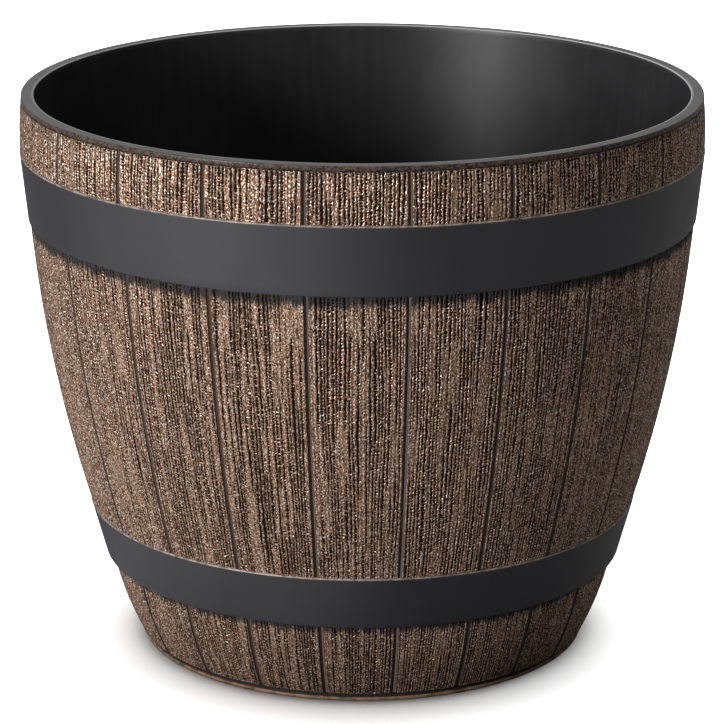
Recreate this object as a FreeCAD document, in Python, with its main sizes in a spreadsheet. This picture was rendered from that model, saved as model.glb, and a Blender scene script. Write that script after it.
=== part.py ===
import FreeCAD, Part
import math
import os
from types import SimpleNamespace

import Sketcher

# A barrel planter: wood-effect staves held by two hoops on a foot ring, a liner pot that drops in
# from above and hangs its lip over the stave ends, and push-in plugs that close the liner's drains.
# Millimetres, +Z up, origin on the ground under the barrel's axis, front towards -Y.

DIMENSIONS = [
    # alias, number, what it measures
    ("height", 324.2, "ground to the top of the lip"),
    ("barrel_diameter", 392.4, "wood at the upper hoop's top edge, the widest wood"),
    ("top_tuck", 1.0, "stave ends under the lip, in from the widest wood"),
    ("top_curve", 190.0, "face radius above the upper hoop, seen from the side"),
    ("belly_top_inset", 4.6, "wood just under the upper hoop, in from the widest wood"),
    ("belly_low_inset", 35.8, "wood just over the lower hoop, in from the widest wood"),
    ("belly_curve", 816.0, "face radius between the hoops, seen from the side"),
    ("skirt_top_inset", 47.4, "wood just under the lower hoop, in from the widest wood"),
    ("skirt_foot_inset", 63.6, "stave ends at the foot, in from the widest wood"),
    ("skirt_curve", 175.0, "face radius under the lower hoop, seen from the side"),
    ("stave_count", 22, "staves round the barrel"),
    ("stave_gap", 0.3, "hairline between neighbouring staves"),
    ("stave_top_wall", 3.7, "stave thickness at its upper end"),
    ("stave_foot_wall", 5.1, "stave thickness at its lower end"),
    ("stave_back_curve", 920.0, "radius of the stave's inner face, seen from the side"),
    ("seam_width", 2.2, "channel that the rebated edges leave between two faces"),
    ("seam_depth", 1.8, "depth of that channel"),
    ("upper_hoop_drop", 31.7, "lip top down to the upper hoop's top edge"),
    ("upper_hoop_width", 39.6, "height of the upper hoop"),
    ("upper_hoop_step", 1.0, "its lower edge stands out from the wood below"),
    ("lower_hoop_lift", 52.1, "ground to the lower hoop's lower edge"),
    ("lower_hoop_width", 31.9, "height of the lower hoop"),
    ("lower_hoop_step", 3.3, "its lower edge stands out from the wood below"),
    ("hoop_proud", 0.35, "each hoop's top edge stands out from the wood above"),
    ("hoop_wall", 2.2, "hoop thickness"),
    ("hoop_clearance", 0.15, "hoop to its seat in the staves"),
    ("hoop_edge", 0.8, "rounding of the hoops' outer edges"),
    ("liner_clearance", 0.3, "liner to the stave ends and to their backs at the mouth"),
    ("liner_foot_wall", 2.2, "liner wall thickness at its rounded corner"),
    ("liner_mouth_wall", 3.7, "liner wall thickness at its mouth"),
    ("liner_floor", 3.0, "liner floor thickness"),
    ("liner_corner_rise", 18.8, "height of the rounded corner between floor and wall"),
    ("liner_corner_run", 18.4, "width of that corner"),
    ("liner_corner_curve", 40.0, "radius of that corner"),
    ("lip_thickness", 3.0, "thickness of the lip over the stave ends"),
    ("lip_setback", 0.2, "lip edge, in from the stave faces under it"),
    ("lip_edge", 1.0, "rounding of the lip's top edges"),
    ("drain_count", 4, "drain holes in the liner floor"),
    ("drain_hole_diameter", 20.0, "drain hole"),
    ("drain_circle_diameter", 124.0, "circle that the drain holes lie on"),
    ("plug_clearance", 0.15, "plug shank to its hole, all round"),
    ("plug_head_overlap", 4.0, "plug head past the edge of its hole"),
    ("plug_head_thickness", 3.0, "plug head"),
    ("plug_reach", 2.6, "shank past the underside of the liner floor"),
    ("plug_taper", 0.8, "shank narrows by this much, on the radius, to its tip"),
    ("plug_edge", 0.8, "rounding of the plug head"),
    ("grip_length", 16.0, "bar that a plug is pulled by"),
    ("grip_width", 4.0, "width of that bar"),
    ("grip_height", 7.0, "height of that bar"),
    ("grip_edge", 1.2, "rounding of that bar"),
    ("foot_height", 5.2, "ground to the stave ends"),
    ("foot_flange_setback", 2.0, "flange edge, in from the stave faces"),
    ("foot_flange_thickness", 2.0, "flange at the ground"),
    ("foot_flange_edge", 0.6, "rounding of the flange"),
    ("foot_neck_setback", 3.2, "recessed neck, in from the stave faces"),
    ("foot_width", 12.6, "width of the face that stands on the ground"),
    ("shelf_thickness", 3.2, "shelf under the liner floor"),
    ("shelf_margin", 13.0, "shelf edge, out from the drain holes"),
    ("upstand_height", 5.0, "rim that locates the stave ends, over the shelf"),
    ("upstand_wall", 2.6, "thickness of that rim"),
    ("upstand_clearance", 0.3, "that rim to the stave backs"),
]


# Two places closer than this are the same place.
SAME_PLACE = 1e-4


class Size:
    """A number worked out from the sheet, with the expression that keeps it tied to the cells."""

    def __init__(self, value, text):
        self.value = value
        self.text = text

    def __add__(self, other):
        other = as_size(other)
        return Size(self.value + other.value, f"({self.text} + {other.text})")

    def __sub__(self, other):
        other = as_size(other)
        return Size(self.value - other.value, f"({self.text} - {other.text})")

    def __mul__(self, other):
        other = as_size(other)
        return Size(self.value * other.value, f"({self.text} * {other.text})")

    def __truediv__(self, other):
        other = as_size(other)
        return Size(self.value / other.value, f"({self.text} / {other.text})")

    def __neg__(self):
        return Size(-self.value, f"(-{self.text})")


def as_size(thing):
    return thing if isinstance(thing, Size) else Size(float(thing), str(thing))


def sine(angle):
    return Size(math.sin(math.radians(angle.value)), f"sin({angle.text})")


def cosine(angle):
    return Size(math.cos(math.radians(angle.value)), f"cos({angle.text})")


def tangent(angle):
    return Size(math.tan(math.radians(angle.value)), f"tan({angle.text})")


def make_sheet(doc):
    """Puts every driving dimension in an aliased cell and returns them as sizes."""
    sheet = doc.addObject("Spreadsheet::Sheet", "Dimensions")
    cells = {}
    for row, (alias, number, meaning) in enumerate(DIMENSIONS, 1):
        sheet.set(f"A{row}", alias)
        sheet.set(f"B{row}", str(number))
        sheet.set(f"C{row}", meaning)
        sheet.setAlias(f"B{row}", alias)
        cells[alias] = Size(float(number), f"Dimensions.{alias}")
    doc.recompute()
    return SimpleNamespace(**cells)


def bind(feature, **sizes):
    """Ties properties to the sheet. Two underscores in a name stand for the dot of a property's path."""
    for name, size in sizes.items():
        feature.setExpression(name.replace("__", "."), as_size(size).text)


def barrel_layout(dim):
    """Radii and heights that several pieces share, all measured from the axis and the ground."""
    at = SimpleNamespace()
    at.widest = dim.barrel_diameter / 2
    at.top = at.widest - dim.top_tuck
    at.belly_top = at.widest - dim.belly_top_inset
    at.belly_low = at.widest - dim.belly_low_inset
    at.skirt_top = at.widest - dim.skirt_top_inset
    at.skirt_foot = at.widest - dim.skirt_foot_inset
    at.back_top = at.top - dim.stave_top_wall
    at.back_foot = at.skirt_foot - dim.stave_foot_wall
    at.stave_top_z = dim.height - dim.lip_thickness - dim.liner_clearance
    at.upper_hoop = hoop_layout(
        dim,
        low_z=dim.height - dim.upper_hoop_drop - dim.upper_hoop_width,
        top_z=dim.height - dim.upper_hoop_drop,
        low_radius=at.belly_top + dim.upper_hoop_step,
        top_radius=at.widest + dim.hoop_proud,
    )
    at.lower_hoop = hoop_layout(
        dim,
        low_z=dim.lower_hoop_lift,
        top_z=dim.lower_hoop_lift + dim.lower_hoop_width,
        low_radius=at.skirt_top + dim.lower_hoop_step,
        top_radius=at.belly_low + dim.hoop_proud,
    )
    at.floor_top_z = dim.foot_height + dim.liner_floor
    at.drain_circle = dim.drain_circle_diameter / 2
    at.drain_hole = dim.drain_hole_diameter / 2
    return at


def hoop_layout(dim, low_z, top_z, low_radius, top_radius):
    """A hoop's corners, and the seat that the staves hold for it a clearance away."""
    return SimpleNamespace(
        low_z=low_z,
        top_z=top_z,
        low_radius=low_radius,
        top_radius=top_radius,
        seat_low_z=low_z - dim.hoop_clearance,
        seat_top_z=top_z + dim.hoop_clearance,
        seat_low_radius=low_radius - dim.hoop_wall - dim.hoop_clearance,
        seat_top_radius=top_radius - dim.hoop_wall - dim.hoop_clearance,
    )


def arc_centre(start, end, radius):
    """Centre of the short arc from start to end, on the side where the axis lies."""
    chord = end - start
    across = FreeCAD.Vector(-chord.y, chord.x, 0)
    across.normalize()
    if across.x > 0:
        across = -across
    rise = math.sqrt(radius ** 2 - (chord.Length / 2) ** 2)
    return (start + end) / 2 + across * rise


def draw_outline(sketch, corners, curves):
    """Draws a closed outline through (radius, height) corners and ties each one to the sheet.

    curves maps a corner's number to the radius of the arc that leaves it for the next corner.
    """
    points = [FreeCAD.Vector(radius.value, height.value, 0) for radius, height in corners]
    ends = []
    for number, start in enumerate(points):
        end = points[(number + 1) % len(points)]
        if number not in curves:
            edge = sketch.addGeometry(Part.LineSegment(start, end), False)
            ends.append((edge, 1, 2))
            continue
        curve = curves[number]
        centre = arc_centre(start, end, curve.value)
        angles = [math.atan2(point.y - centre.y, point.x - centre.x) for point in (start, end)]
        forward = (angles[1] - angles[0]) % (2 * math.pi) < math.pi
        low, high = angles if forward else angles[::-1]
        circle = Part.Circle(centre, FreeCAD.Vector(0, 0, 1), curve.value)
        edge = sketch.addGeometry(Part.ArcOfCircle(circle, low, high), False)
        ends.append((edge, 1, 2) if forward else (edge, 2, 1))
        tied = sketch.addConstraint(Sketcher.Constraint("Radius", edge, curve.value))
        sketch.setExpression(f"Constraints[{tied}]", curve.text)
    for number, (radius, height) in enumerate(corners):
        edge, start, _ = ends[number]
        last_edge, _, last_end = ends[number - 1]
        sketch.addConstraint(Sketcher.Constraint("Coincident", last_edge, last_end, edge, start))
        place_point(sketch, edge, start, radius, height)


def place_point(sketch, edge, end, across, up):
    """Holds a point of the sketch at two distances from the sketch's origin."""
    for kind, size, axis in (("DistanceX", across, -2), ("DistanceY", up, -1)):
        if size.value == 0:
            sketch.addConstraint(Sketcher.Constraint("PointOnObject", edge, end, axis))
            continue
        tied = sketch.addConstraint(Sketcher.Constraint(kind, -1, 1, edge, end, size.value))
        sketch.setExpression(f"Constraints[{tied}]", size.text)


def body_plane(body, role):
    return next(plane for plane in body.Origin.OriginFeatures if plane.Role == role)


def attached_sketch(body, name, role, lift=None):
    sketch = body.newObject("Sketcher::SketchObject", name)
    sketch.AttachmentSupport = (body_plane(body, role), [""])
    sketch.MapMode = "FlatFace"
    if lift is not None:
        bind(sketch, AttachmentOffset__Base__z=lift)
    return sketch


def turned_body(doc, name, corners, curves=None):
    """A body made by turning an outline about the vertical axis."""
    body = doc.addObject("PartDesign::Body", name)
    sketch = attached_sketch(body, f"{name}_outline", "XZ_Plane")
    draw_outline(sketch, corners, curves or {})
    turning = body.newObject("PartDesign::Revolution", f"{name}_turning")
    turning.Profile = sketch
    turning.ReferenceAxis = (sketch, ["V_Axis"])
    turning.Angle = 360.0
    doc.recompute()
    return body


def round_rims(doc, body, radius, rims):
    """Rounds the circular edges of a body that lie at the given (radius, height) places."""
    base = body.Tip
    names = []
    for number, edge in enumerate(base.Shape.Edges, 1):
        if not isinstance(edge.Curve, Part.Circle):
            continue
        for rim_radius, rim_height in rims:
            off_radius = abs(edge.Curve.Radius - rim_radius.value)
            off_height = abs(edge.Curve.Center.z - rim_height.value)
            if max(off_radius, off_height) < SAME_PLACE:
                names.append(f"Edge{number}")
    round_edges(doc, body, radius, names)


def round_edges(doc, body, radius, names):
    base = body.Tip
    fillet = body.newObject("PartDesign::Fillet", f"{body.Name}_rounding")
    fillet.Base = (base, names)
    bind(fillet, Radius=radius)
    doc.recompute()


def make_staves(doc, dim, at):
    """One stave at the front, then its copies turned about the axis."""
    upper = at.upper_hoop
    lower = at.lower_hoop
    faces = {1: dim.skirt_curve, 5: dim.belly_curve, 9: dim.top_curve}

    section = [
        (at.back_foot, dim.foot_height),
        (at.skirt_foot, dim.foot_height),
        (at.skirt_top, lower.seat_low_z),
        (lower.seat_low_radius, lower.seat_low_z),
        (lower.seat_top_radius, lower.seat_top_z),
        (at.belly_low, lower.seat_top_z),
        (at.belly_top, upper.seat_low_z),
        (upper.seat_low_radius, upper.seat_low_z),
        (upper.seat_top_radius, upper.seat_top_z),
        (at.widest, upper.seat_top_z),
        (at.top, at.stave_top_z),
        (at.back_top, at.stave_top_z),
    ]
    ring = turned_ring(doc, "stave_ring", section, {**faces, 11: dim.stave_back_curve})

    # The same faces, sunk by the depth of the seam channels. Under the hoops nothing is sunk.
    axis = as_size(0)
    sunk_section = [
        (axis, dim.foot_height),
        (at.skirt_foot - dim.seam_depth, dim.foot_height),
        (at.skirt_top - dim.seam_depth, lower.seat_low_z),
        (lower.low_radius, lower.seat_low_z),
        (lower.top_radius, lower.seat_top_z),
        (at.belly_low - dim.seam_depth, lower.seat_top_z),
        (at.belly_top - dim.seam_depth, upper.seat_low_z),
        (upper.low_radius, upper.seat_low_z),
        (upper.top_radius, upper.seat_top_z),
        (at.widest - dim.seam_depth, upper.seat_top_z),
        (at.top - dim.seam_depth, at.stave_top_z),
        (axis, at.stave_top_z),
    ]
    sunk_core = turned_ring(doc, "stave_sunk_core", sunk_section, faces)

    face = common(doc, "stave_face", ring, stave_wedge(doc, "face_wedge", dim, at, dim.seam_width))
    sunk_ring = common(doc, "stave_sunk_ring", ring, sunk_core)
    tongue_wedge = stave_wedge(doc, "tongue_wedge", dim, at, dim.stave_gap)
    tongues = common(doc, "stave_tongues", sunk_ring, tongue_wedge)
    stave = doc.addObject("Part::Fuse", "stave_solid")
    stave.Base = face
    stave.Tool = tongues
    stave.Refine = True
    doc.recompute()

    staves = []
    for number in range(int(dim.stave_count.value)):
        body = doc.addObject("PartDesign::Body", f"stave_{number + 1:02d}")
        copy = body.newObject("PartDesign::FeatureBase", f"stave_{number + 1:02d}_copy")
        copy.BaseFeature = stave
        body.Tip = copy
        bind(body, Placement__Rotation__Angle=as_size(360) / dim.stave_count * number)
        staves.append(body)
    return staves


def turned_ring(doc, name, corners, curves):
    sketch = doc.addObject("Sketcher::SketchObject", f"{name}_outline")
    sketch.Placement = FreeCAD.Placement(FreeCAD.Vector(), FreeCAD.Rotation(FreeCAD.Vector(1, 0, 0), 90))
    draw_outline(sketch, corners, curves)
    ring = doc.addObject("Part::Revolution", name)
    ring.Source = sketch
    ring.Axis = FreeCAD.Vector(0, 0, 1)
    ring.Angle = 360.0
    ring.Solid = True
    return ring


def stave_wedge(doc, name, dim, at, gap):
    """A stave's share of the circle at the front, with flat sides half a gap from the seams."""
    half_turn = as_size(180) / dim.stave_count
    sideways = gap / 2 / cosine(half_turn)
    near = at.back_foot / 2
    far = at.widest + at.back_foot
    near_half = near * tangent(half_turn) - sideways
    far_half = far * tangent(half_turn) - sideways
    wedge = doc.addObject("Part::Wedge", name)
    bind(wedge, Ymin=near, Ymax=far)
    bind(wedge, Xmin=-near_half, Xmax=near_half, X2min=-far_half, X2max=far_half)
    bind(wedge, Zmin=0, Z2min=0, Zmax=dim.height, Z2max=dim.height)
    wedge.Placement = FreeCAD.Placement(FreeCAD.Vector(), FreeCAD.Rotation(FreeCAD.Vector(0, 0, 1), 180))
    return wedge


def common(doc, name, base, tool):
    shared = doc.addObject("Part::Common", name)
    shared.Base = base
    shared.Tool = tool
    return shared


def make_hoop(doc, name, dim, hoop):
    """A flat band, bent to the barrel's slope, that rides in the seats of the staves."""
    outline = [
        (hoop.low_radius - dim.hoop_wall, hoop.low_z),
        (hoop.low_radius, hoop.low_z),
        (hoop.top_radius, hoop.top_z),
        (hoop.top_radius - dim.hoop_wall, hoop.top_z),
    ]
    body = turned_body(doc, name, outline)
    round_rims(doc, body, dim.hoop_edge, [outline[1], outline[2]])
    return body


def make_foot_ring(doc, dim, at):
    """The ring on the ground: flange, recessed neck, a rim behind the stave ends and the shelf."""
    flange = at.skirt_foot - dim.foot_flange_setback
    neck = at.skirt_foot - dim.foot_neck_setback
    rim_outside = at.back_foot - dim.upstand_clearance
    rim_inside = rim_outside - dim.upstand_wall
    rim_top = dim.foot_height + dim.upstand_height
    shelf_bore = at.drain_circle + at.drain_hole + dim.shelf_margin
    shelf_under = dim.foot_height - dim.shelf_thickness
    ground = as_size(0)
    outline = [
        (shelf_bore, shelf_under),
        (flange - dim.foot_width, shelf_under),
        (flange - dim.foot_width, ground),
        (flange, ground),
        (flange, dim.foot_flange_thickness),
        (neck, dim.foot_flange_thickness),
        (neck, dim.foot_height),
        (rim_outside, dim.foot_height),
        (rim_outside, rim_top),
        (rim_inside, rim_top),
        (rim_inside, dim.foot_height),
        (shelf_bore, dim.foot_height),
    ]
    body = turned_body(doc, "foot_ring", outline)
    round_rims(doc, body, dim.foot_flange_edge, [outline[3], outline[4]])
    return body


def make_liner(doc, dim, at):
    """The pot that holds the soil. Its floor stands on the shelf and its lip covers the staves."""
    wall_foot = at.back_foot - dim.liner_clearance
    wall_top = at.back_top - dim.liner_clearance
    floor_edge = wall_foot - dim.liner_corner_run
    corner_z = dim.foot_height + dim.liner_corner_rise
    lip_under = dim.height - dim.lip_thickness
    lip_outside = at.top - dim.lip_setback
    mouth = wall_top - dim.liner_mouth_wall
    axis = as_size(0)
    outline = [
        (axis, dim.foot_height),
        (floor_edge, dim.foot_height),
        (wall_foot, corner_z),
        (wall_top, lip_under),
        (lip_outside, lip_under),
        (lip_outside, dim.height),
        (mouth, dim.height),
        (wall_foot - dim.liner_foot_wall, corner_z),
        (floor_edge, at.floor_top_z),
        (axis, at.floor_top_z),
    ]
    curves = {
        1: dim.liner_corner_curve,
        2: dim.stave_back_curve,
        6: dim.stave_back_curve,
        7: dim.liner_corner_curve,
    }
    body = turned_body(doc, "liner_pot", outline, curves)
    round_rims(doc, body, dim.lip_edge, [outline[5], outline[6]])
    drill_drains(doc, body, dim, at)
    return body


def drill_drains(doc, body, dim, at):
    """Drain holes through the floor, evenly spaced on their circle from the +X side round."""
    sketch = attached_sketch(body, "drain_hole", "XY_Plane")
    start = FreeCAD.Vector(at.drain_circle.value, 0, 0)
    circle = Part.Circle(start, FreeCAD.Vector(0, 0, 1), at.drain_hole.value)
    edge = sketch.addGeometry(circle, False)
    tied = sketch.addConstraint(Sketcher.Constraint("Radius", edge, at.drain_hole.value))
    sketch.setExpression(f"Constraints[{tied}]", at.drain_hole.text)
    place_point(sketch, edge, 3, at.drain_circle, as_size(0))
    before = body.Shape.Volume
    pocket = body.newObject("PartDesign::Pocket", "drain")
    pocket.Profile = sketch
    pocket.Reversed = True
    bind(pocket, Length=at.floor_top_z + dim.liner_floor)
    doc.recompute()
    pattern = body.newObject("PartDesign::PolarPattern", "drains")
    pattern.Originals = [pocket]
    pattern.Axis = (sketch, ["N_Axis"])
    pattern.Angle = 360.0
    bind(pattern, Occurrences=dim.drain_count)
    body.Tip = pattern
    doc.recompute()
    one_hole = math.pi * at.drain_hole.value ** 2 * dim.liner_floor.value
    drilled = (before - body.Shape.Volume) / one_hole
    if round(drilled, 2) != dim.drain_count.value:
        raise RuntimeError(f"the liner floor lost {drilled:.3f} holes")


def make_plug(doc, dim, at, number):
    """A tapered plug with a broad head on the floor and a bar to pull it by."""
    name = f"drain_plug_{number + 1}"
    shank = at.drain_hole - dim.plug_clearance
    head = at.drain_hole + dim.plug_head_overlap
    head_top = at.floor_top_z + dim.plug_head_thickness
    tip = dim.foot_height - dim.plug_reach
    axis = as_size(0)
    outline = [
        (axis, tip),
        (shank - dim.plug_taper, tip),
        (shank, at.floor_top_z),
        (head, at.floor_top_z),
        (head, head_top),
        (axis, head_top),
    ]
    body = turned_body(doc, name, outline)
    round_rims(doc, body, dim.plug_edge, [outline[4]])

    sketch = attached_sketch(body, f"{name}_grip_outline", "XY_Plane", lift=head_top)
    draw_bar(sketch, dim.grip_length / 2, dim.grip_width / 2)
    grip = body.newObject("PartDesign::Pad", f"{name}_grip")
    grip.Profile = sketch
    bind(grip, Length=dim.grip_height)
    doc.recompute()
    grip_top = (head_top + dim.grip_height).value
    top_edges = [
        f"Edge{edge_number}"
        for edge_number, edge in enumerate(body.Shape.Edges, 1)
        if abs(edge.BoundBox.ZMin - grip_top) < SAME_PLACE
    ]
    round_edges(doc, body, dim.grip_edge, top_edges)

    angle = as_size(360) / dim.drain_count * number
    bind(body, Placement__Rotation__Angle=angle)
    bind(body, Placement__Base__x=at.drain_circle * cosine(angle))
    bind(body, Placement__Base__y=at.drain_circle * sine(angle))
    return body


def draw_bar(sketch, half_length, half_width):
    """A rectangle about the sketch's origin."""
    signs = [(-1, -1), (1, -1), (1, 1), (-1, 1)]
    corners = [FreeCAD.Vector(x * half_length.value, y * half_width.value, 0) for x, y in signs]
    sides = [
        sketch.addGeometry(Part.LineSegment(corners[i], corners[(i + 1) % 4]), False)
        for i in range(4)
    ]
    for i, side in enumerate(sides):
        sketch.addConstraint(Sketcher.Constraint("Coincident", side, 2, sides[(i + 1) % 4], 1))
    for side, (x, y) in zip(sides[::2], signs[::2]):
        place_point(sketch, side, 1, half_length * x, half_width * y)
    sketch.addConstraint(Sketcher.Constraint("Horizontal", sides[0]))
    sketch.addConstraint(Sketcher.Constraint("Horizontal", sides[2]))
    sketch.addConstraint(Sketcher.Constraint("Vertical", sides[1]))
    sketch.addConstraint(Sketcher.Constraint("Vertical", sides[3]))


def write_pieces(doc, pieces):
    """Writes each piece to its own file, once nothing in the document has failed."""
    failed = [thing.Name for thing in doc.Objects if {"Invalid", "Error"} & set(thing.State)]
    if failed:
        raise RuntimeError(f"failed to build: {failed}")
    for piece in pieces:
        if piece.Shape.isNull() or not piece.Shape.isValid() or len(piece.Shape.Solids) != 1:
            raise RuntimeError(f"{piece.Label} is not one valid solid")
    os.makedirs("parts", exist_ok=True)
    for piece in pieces:
        piece.Shape.exportStep(f"parts/{piece.Label}.step")
        print(f"{piece.Label}: {piece.Shape.Volume / 1000:.1f} cm3")


def main():
    doc = FreeCAD.newDocument("barrel_planter")
    dim = make_sheet(doc)
    at = barrel_layout(dim)
    pieces = make_staves(doc, dim, at)
    pieces.append(make_hoop(doc, "upper_hoop", dim, at.upper_hoop))
    pieces.append(make_hoop(doc, "lower_hoop", dim, at.lower_hoop))
    pieces.append(make_foot_ring(doc, dim, at))
    pieces.append(make_liner(doc, dim, at))
    for number in range(int(dim.drain_count.value)):
        pieces.append(make_plug(doc, dim, at, number))
    doc.recompute()
    write_pieces(doc, pieces)


main()
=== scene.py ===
import math

import bmesh
import bpy
import numpy as np
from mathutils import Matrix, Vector


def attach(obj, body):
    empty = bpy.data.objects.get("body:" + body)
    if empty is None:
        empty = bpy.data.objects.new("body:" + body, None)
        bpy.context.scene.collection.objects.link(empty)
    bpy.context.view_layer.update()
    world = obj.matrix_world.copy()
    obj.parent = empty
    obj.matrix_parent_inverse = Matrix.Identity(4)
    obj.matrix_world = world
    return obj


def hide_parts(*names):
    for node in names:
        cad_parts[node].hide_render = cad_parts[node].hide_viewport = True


# Looks of a barrel planter: moulded wood grain on the staves, satin hoops with a bronze rub along their top
# edges, a foot ring with a rubbed flange, a dark liner and rubber drain plugs. Named sizes are in millimetres
# unless a heading says otherwise, and meshes are made in metres. Radii are from the barrel's axis and heights
# from the ground. Angles run from the front round to +X.

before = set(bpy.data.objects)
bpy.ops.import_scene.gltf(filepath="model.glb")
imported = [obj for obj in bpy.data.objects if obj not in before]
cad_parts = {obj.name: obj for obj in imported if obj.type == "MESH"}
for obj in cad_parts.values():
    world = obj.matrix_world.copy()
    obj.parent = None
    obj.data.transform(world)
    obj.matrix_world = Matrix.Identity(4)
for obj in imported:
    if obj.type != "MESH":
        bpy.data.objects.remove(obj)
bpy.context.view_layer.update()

MM = 0.001

# Staves. A face has its low end, its top end and the radius of the arc between them.
STAVE_COUNT = 22
STAVE_FOOT_Z = 5.2
STAVE_TOP_Z = 320.9
STAVE_GAP = 0.3
SEAM_WIDTH = 2.2
SEAM_DEPTH = 0.95
SEAT_STEP = 0.05
SKIRT = ((132.6, STAVE_FOOT_Z), (148.8, 51.95), 175.0)
LOWER_SEAT = ((149.75, 51.95), (158.4, 84.15), None)
BELLY = ((160.4, 84.15), (191.6, 252.75), 816.0)
UPPER_SEAT = ((190.25, 252.75), (194.2, 292.65), None)
TOP_BAND = ((196.2, 292.65), (195.2, STAVE_TOP_Z), 190.0)
STAVE_BACK = ((127.5, STAVE_FOOT_Z), (191.5, STAVE_TOP_Z), 920.0)

# Wood grain. Distances across a stave are as on one of the grain's own width. Cells of noise have a size
# across the stave and one along it, and a layer of noise has its weight first.
FIRST_SEED = 100
FACE_COLUMNS = 144
EDGE_COLUMNS = 5
SEAM_COLUMNS = 2
BACK_COLUMNS = 5
ROW_STEP = 0.55
GRAIN_WIDTH = 50.0
GROOVE_PITCH = GRAIN_WIDTH / 24
GROOVE_DEPTH = 0.8
GROOVE_SIDES = (-0.25, 0.45)
WANDER_LAYERS = ((0.9, 14.0, 90.0), (0.4, 6.0, 28.0), (0.7, 3.2, 60.0), (0.25, 2.4, 7.0))
BEAD_SPACING = 1.7
BEAD_WEIGHT = 0.85
BEAD_DRIFT = 0.5
BEAD_DRIFT_CELL = 4.0
BEAD_FADE = (-0.8, 0.2)
BEAD_FADE_CELL = 22.0
ROUGH_WEIGHT = 0.75
ROUGH_CELLS = (0.8, 1.2)
FAINTEST = 0.3
FAINT_FADE = (-0.8, 0.3)
FAINT_CELL = 40.0
LUMP_HEIGHT = 0.14
LUMP_LAYERS = ((0.6, 0.8, 2.8), (0.4, 3.0, 12.0))
EDGE_ROUND = 0.8
EDGE_BAND = (0.4, 1.6)
END_BAND = 0.35

# Where bronze is missing or thin on a stave, and the steps that mark it. The dark strips under the hoops are
# partly bronze missed there and partly painted shade under the hoops.
NO_BRONZE = 1.0
IN_SEAM = 2.0
BARE_SHADED_STRIP = 9.0
SKIRT_BARE_SHADED_STRIP = 7.0
STRIP_FULL = 0.2
BARE_EDGE = 0.3
SKIRT_EDGE = 0.9
THIN_STRIP = 13.0
THINNEST = 0.35
RAGGED = 2.0
RAGGED_CELLS = (1.5, 20.0)
TONE_SPREAD = 0.1
TONE_DRIFT = 0.25
TONE_CELLS = (18.0, 60.0)

# Layout of a stave's map for baking, in shares of the map
MAP_BACK_SHARE = 0.15
MAP_SIDES_TOP = 0.96
MAP_END_SIZE = (0.45, 0.025)
MAP_END_AT = (0.02, 0.97)
MAP_END_STEP = (0.5, 0.0)

# Hoops and foot ring. Each wave that takes a ring out of true has a count round the ring, a start angle and
# a lean per millimetre of height.
RING_SEGMENTS = 720
RING_WAVES = ((3, 0.4, 0.0), (7, 2.0, 0.0), (16, 0.0, 1 / 40))
CORNER_STEPS = 5
UPPER_HOOP = ((192.6, 252.9), (196.55, 292.5))
LOWER_HOOP = ((152.1, 52.1), (160.75, 84.0))
HOOP_WALL = 2.2
HOOP_EDGE = 0.8
HOOP_STEPS = 9
RUB_WIDTH = 1.25
RUB_FULL = 0.3
HOOP_WAVES = 0.03
FLANGE = 130.6
FLANGE_TOP_Z = 2.0
FLANGE_EDGE = 0.6
FLANGE_RUB_IN = 0.3
FLANGE_RUB_UP = 0.7
NECK = 129.4
FOOT_INSIDE = 118.0
SHELF_BORE = 85.0
SHELF_UNDER_Z = 2.0
RIM_OUTSIDE = 127.2
RIM_INSIDE = 124.6
RIM_TOP_Z = 10.2

# Liner. Its finishes, with the painted light on the lip, start and are full at two distances from the top or
# the outside of the lip.
LIP_TOP_Z = 324.2
LIP_UNDER_Z = 321.2
LIP_OUTSIDE = 195.0
MOUTH = 187.5
LIP_EDGE = 0.6
# Width of the painted highlight line along the lip's inner edge, which also places a corner of the lip's
# outline
HIGHLIGHT_LINE_WIDTH = 1.6
LIP_TOP_LIT = (0.7, 0.3)
EDGE_HIGHLIGHT_FADE = (0.5, 0.1)
SIDE_RUB = (0.7, 0.3)
FLOOR_UNDER_Z = 5.2
FLOOR_TOP_Z = 8.2
FLOOR_EDGE = 108.8
CORNER_TOP_Z = 24.0
CORNER_CURVE = 40.0
LINER_OUTSIDE = ((127.2, CORNER_TOP_Z), (191.2, LIP_UNDER_Z), 920.0)
LINER_INSIDE = ((125.0, CORNER_TOP_Z), (MOUTH, LIP_TOP_Z), 920.0)
WALL_STEPS = 40
DRAIN_COUNT = 4
DRAIN_HOLE = 10.0
DRAIN_CIRCLE = 62.0
DRAIN_SEGMENTS = 48

# Colours
CHARCOAL = (0.016, 0.007, 0.004, 1.0)
CHARCOAL_LIGHT = (0.052, 0.050, 0.050, 1.0)
SEAM_GREY = (0.130, 0.110, 0.101, 1.0)
SEAM_BROWN = (0.165, 0.105, 0.078, 1.0)
BRONZE = (0.545, 0.312, 0.194, 1.0)
BRONZE_DARK = (0.13, 0.072, 0.045, 1.0)
# Palest bronze; on the staves' pale specks it is partly painted glints
BRONZE_PALE = (1.0, 0.84, 0.72, 1.0)
HOOP_DARK = (0.0130, 0.0128, 0.0208, 1.0)
HOOP_LIGHT = (0.018, 0.0177, 0.0285, 1.0)
LINER_DARK = (0.021, 0.020, 0.022, 1.0)
LINER_LIGHT = (0.034, 0.032, 0.034, 1.0)
LINER_STREAK = (0.045, 0.042, 0.044, 1.0)
# The lip's top: lighter than the liner's plastic, painted light as if lit from above
LIT_LIP_DARK = (0.145, 0.143, 0.148, 1.0)
LIT_LIP_LIGHT = (0.195, 0.192, 0.196, 1.0)
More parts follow.
